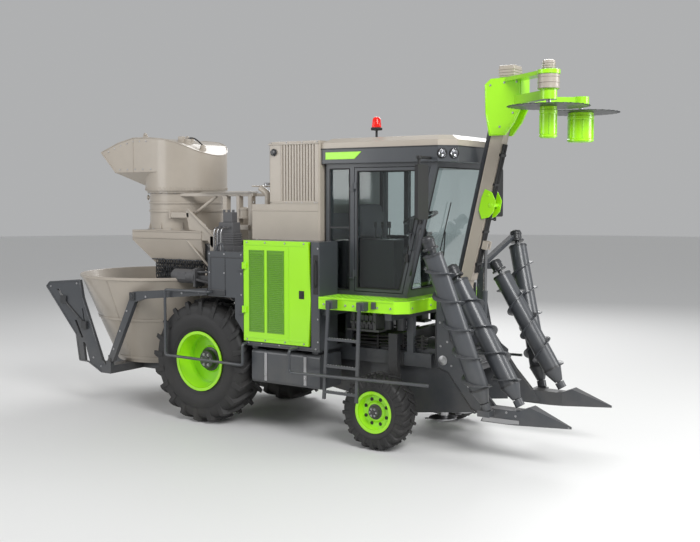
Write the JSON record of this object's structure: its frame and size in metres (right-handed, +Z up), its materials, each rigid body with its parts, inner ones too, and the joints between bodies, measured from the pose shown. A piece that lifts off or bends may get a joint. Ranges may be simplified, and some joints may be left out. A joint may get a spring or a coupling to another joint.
{
  "type": "sugarcane harvester",
  "caption": "Wheeled chopper harvester for sugarcane with a cab, crop divider scrolls, topper boom, engine covers, slewing extractor hood and a conical rear tub.",
  "frame": {"origin": "on the ground, in the middle of the machine's length", "axes": "+X forward in the direction of travel, +Y to the machine's left, +Z up"},
  "size_m": [7.2299, 2.343, 4.0599],
  "materials": {
    "body_grey": "satin warm grey paint",
    "lime_green": "glossy lime green paint",
    "slate_grey": "satin slate grey paint",
    "bare_steel": "worn bare steel",
    "cast_grey": "painted casting",
    "tyre": "black rubber",
    "glass": "clear",
    "lamp": "clear lens over a bright bowl",
    "seat_cloth": "dark woven cloth",
    "black_plastic": "matt"
  },
  "bodies": {
    "chassis": {"chassis_frame": "slate_grey", "engine_block": "cast_grey", "rear_axle": "slate_grey", "front_axle": "slate_grey", "feed_channel": "slate_grey", "front_frame": "slate_grey", "engine_bay": "slate_grey", "fuel_tank": "slate_grey", "hydraulic_tank": "slate_grey", "air_box": "body_grey", "radiator_box": "body_grey", "cab_shell": "slate_grey", "cab_glass": "glass", "cab_roof": "body_grey", "roof_lamps": "lamp", "driver_seat": "seat_cloth", "cab_controls": "black_plastic", "mirrors": "black_plastic", "cab_deck": "lime_green", "ladder": "slate_grey", "guard_rails": "slate_grey", "extractor_chamber": "body_grey", "extractor_ring": "body_grey", "collection_tub": "body_grey", "tub_frame": "slate_grey", "side_panel_right": "slate_grey", "side_panel_left": "slate_grey"},
    "rear_wheel_right": {"rear_rim_right": "lime_green", "rear_tyre_right": "tyre"},
    "rear_wheel_left": {"rear_rim_left": "lime_green", "rear_tyre_left": "tyre"},
    "knuckle_right": {"steering_knuckle_right": "slate_grey"},
    "knuckle_left": {"steering_knuckle_left": "slate_grey"},
    "front_wheel_right": {"front_rim_right": "lime_green", "front_tyre_right": "tyre"},
    "front_wheel_left": {"front_rim_left": "lime_green", "front_tyre_left": "tyre"},
    "roller": {"knockdown_roller": "bare_steel"},
    "cutter_right": {"base_cutter_right": "bare_steel"},
    "cutter_left": {"base_cutter_left": "bare_steel"},
    "cover_right": {"engine_cover_right": "lime_green"},
    "cover_left": {"engine_cover_left": "lime_green"},
    "door": {"cab_door": "slate_grey", "cab_door_glass": "glass"},
    "hood": {"extractor_hood": "body_grey"},
    "fan": {"extractor_fan": "bare_steel"},
    "boom": {"topper_boom": "body_grey"},
    "link": {"topper_link": "slate_grey"},
    "head": {"topper_head": "lime_green"},
    "rotor_right": {"topper_rotor_right": "lime_green"},
    "rotor_left": {"topper_rotor_left": "lime_green"},
    "cylinder": {"boom_cylinder": "slate_grey"},
    "cylinder_rod": {"boom_rod": "bare_steel"},
    "divider_right": {"crop_divider_right": "slate_grey"},
    "divider_left": {"crop_divider_left": "slate_grey"},
    "outer_scroll_right": {"outer_scroll_right": "slate_grey"},
    "outer_scroll_left": {"outer_scroll_left": "slate_grey"},
    "inner_scroll_right": {"inner_scroll_right": "slate_grey"},
    "inner_scroll_left": {"inner_scroll_left": "slate_grey"}
  },
  "joints": [
    {"name": "rear_wheel_right_spin", "type": "hinge", "parent": "chassis", "child": "rear_wheel_right", "pos_m": [-0.925, -0.8, 0.735], "axis": [0, 1, 0], "continuous": true},
    {"name": "rear_wheel_left_spin", "type": "hinge", "parent": "chassis", "child": "rear_wheel_left", "pos_m": [-0.925, 0.8, 0.735], "axis": [0, 1, 0], "continuous": true},
    {"name": "steer_right", "type": "hinge", "parent": "chassis", "child": "knuckle_right", "pos_m": [1.498, -0.64, 0.408], "axis": [0, 0, 1], "range_deg": [-20, 20]},
    {"name": "front_wheel_right_spin", "type": "hinge", "parent": "knuckle_right", "child": "front_wheel_right", "pos_m": [1.498, -0.847, 0.408], "axis": [0, 1, 0], "continuous": true},
    {"name": "steer_left", "type": "hinge", "parent": "chassis", "child": "knuckle_left", "pos_m": [1.498, 0.64, 0.408], "axis": [0, 0, 1], "range_deg": [-20, 20]},
    {"name": "front_wheel_left_spin", "type": "hinge", "parent": "knuckle_left", "child": "front_wheel_left", "pos_m": [1.498, 0.847, 0.408], "axis": [0, 1, 0], "continuous": true},
    {"name": "roller_spin", "type": "hinge", "parent": "chassis", "child": "roller", "pos_m": [2.255, 0, 0.9], "axis": [0, 1, 0], "continuous": true},
    {"name": "cutter_right_spin", "type": "hinge", "parent": "chassis", "child": "cutter_right", "pos_m": [1.925, -0.215, 0.6], "axis": [0, 0, 1], "continuous": true},
    {"name": "cutter_left_spin", "type": "hinge", "parent": "chassis", "child": "cutter_left", "pos_m": [1.925, 0.215, 0.6], "axis": [0, 0, 1], "continuous": true},
    {"name": "cover_right_swing", "type": "hinge", "parent": "chassis", "child": "cover_right", "pos_m": [-0.239, -1.012, 1.6], "axis": [0, 0, -1], "range_deg": [0, 90]},
    {"name": "cover_left_swing", "type": "hinge", "parent": "chassis", "child": "cover_left", "pos_m": [-0.239, 1.012, 1.6], "axis": [0, 0, 1], "range_deg": [0, 90]},
    {"name": "door_swing", "type": "hinge", "parent": "chassis", "child": "door", "pos_m": [1.025, -0.634, 2.3], "axis": [0, 0, -1], "range_deg": [0, 80]},
    {"name": "hood_slew", "type": "hinge", "parent": "chassis", "child": "hood", "pos_m": [-2.025, 0, 2.76], "axis": [0, 0, 1], "range_deg": [-90, 90]},
    {"name": "fan_spin", "type": "hinge", "parent": "chassis", "child": "fan", "pos_m": [-2.025, 0, 2.475], "axis": [0, 0, 1], "continuous": true},
    {"name": "boom_lift", "type": "hinge", "parent": "chassis", "child": "boom", "pos_m": [2.095, 0, 1.68], "axis": [0, 1, 0], "range_deg": [0, 60]},
    {"name": "link_swing", "type": "hinge", "parent": "chassis", "child": "link", "pos_m": [1.995, 0, 1.78], "axis": [0, 1, 0], "range_deg": [0, 60]},
    {"name": "head_level", "type": "hinge", "parent": "boom", "child": "head", "pos_m": [2.52337, 0, 3.52081], "axis": [0, 1, 0], "range_deg": [-60, 0]},
    {"name": "rotor_right_spin", "type": "hinge", "parent": "head", "child": "rotor_right", "pos_m": [3.205, -0.45, 3.575], "axis": [0, 0, 1], "continuous": true},
    {"name": "rotor_left_spin", "type": "hinge", "parent": "head", "child": "rotor_left", "pos_m": [3.205, 0.45, 3.575], "axis": [0, 0, 1], "continuous": true},
    {"name": "cylinder_swing", "type": "hinge", "parent": "chassis", "child": "cylinder", "pos_m": [2.305, 0, 1.13], "axis": [0, 1, 0], "range_deg": [0, 27.45]},
    {"name": "rod_slide", "type": "slide", "parent": "cylinder", "child": "cylinder_rod", "axis": [0.0193, 0, 0.9998], "range_m": [-0.3584, 0]},
    {"name": "divider_right_lift", "type": "hinge", "parent": "chassis", "child": "divider_right", "pos_m": [2.075, -0.48, 0.95], "axis": [0, -1, 0], "range_deg": [-8, 8]},
    {"name": "outer_scroll_right_spin", "type": "hinge", "parent": "divider_right", "child": "outer_scroll_right", "pos_m": [2.675, -0.735, 0.6], "axis": [-0.2736, -0.1916, 0.9426], "continuous": true},
    {"name": "inner_scroll_right_spin", "type": "hinge", "parent": "divider_right", "child": "inner_scroll_right", "pos_m": [2.955, -0.567, 0.64], "axis": [-0.509, 0.0265, 0.8603], "continuous": true},
    {"name": "divider_left_lift", "type": "hinge", "parent": "chassis", "child": "divider_left", "pos_m": [2.075, 0.48, 0.95], "axis": [0, -1, 0], "range_deg": [-8, 8]},
    {"name": "outer_scroll_left_spin", "type": "hinge", "parent": "divider_left", "child": "outer_scroll_left", "pos_m": [2.675, 0.735, 0.6], "axis": [-0.2736, 0.1916, 0.9426], "continuous": true},
    {"name": "inner_scroll_left_spin", "type": "hinge", "parent": "divider_left", "child": "inner_scroll_left", "pos_m": [2.955, 0.567, 0.64], "axis": [-0.509, -0.0265, 0.8603], "continuous": true}
  ],
  "couplings": [
    {"joint": "steer_left", "follows": "steer_right", "ratio": 1},
    {"joint": "cutter_left_spin", "follows": "cutter_right_spin", "ratio": -1},
    {"joint": "link_swing", "follows": "boom_lift", "ratio": 1},
    {"joint": "head_level", "follows": "boom_lift", "ratio": -1},
    {"joint": "cylinder_swing", "follows": "boom_lift", "ratio": 0.4566},
    {"joint": "rod_slide", "follows": "boom_lift", "m_per_rad": -0.3418}
  ]
}
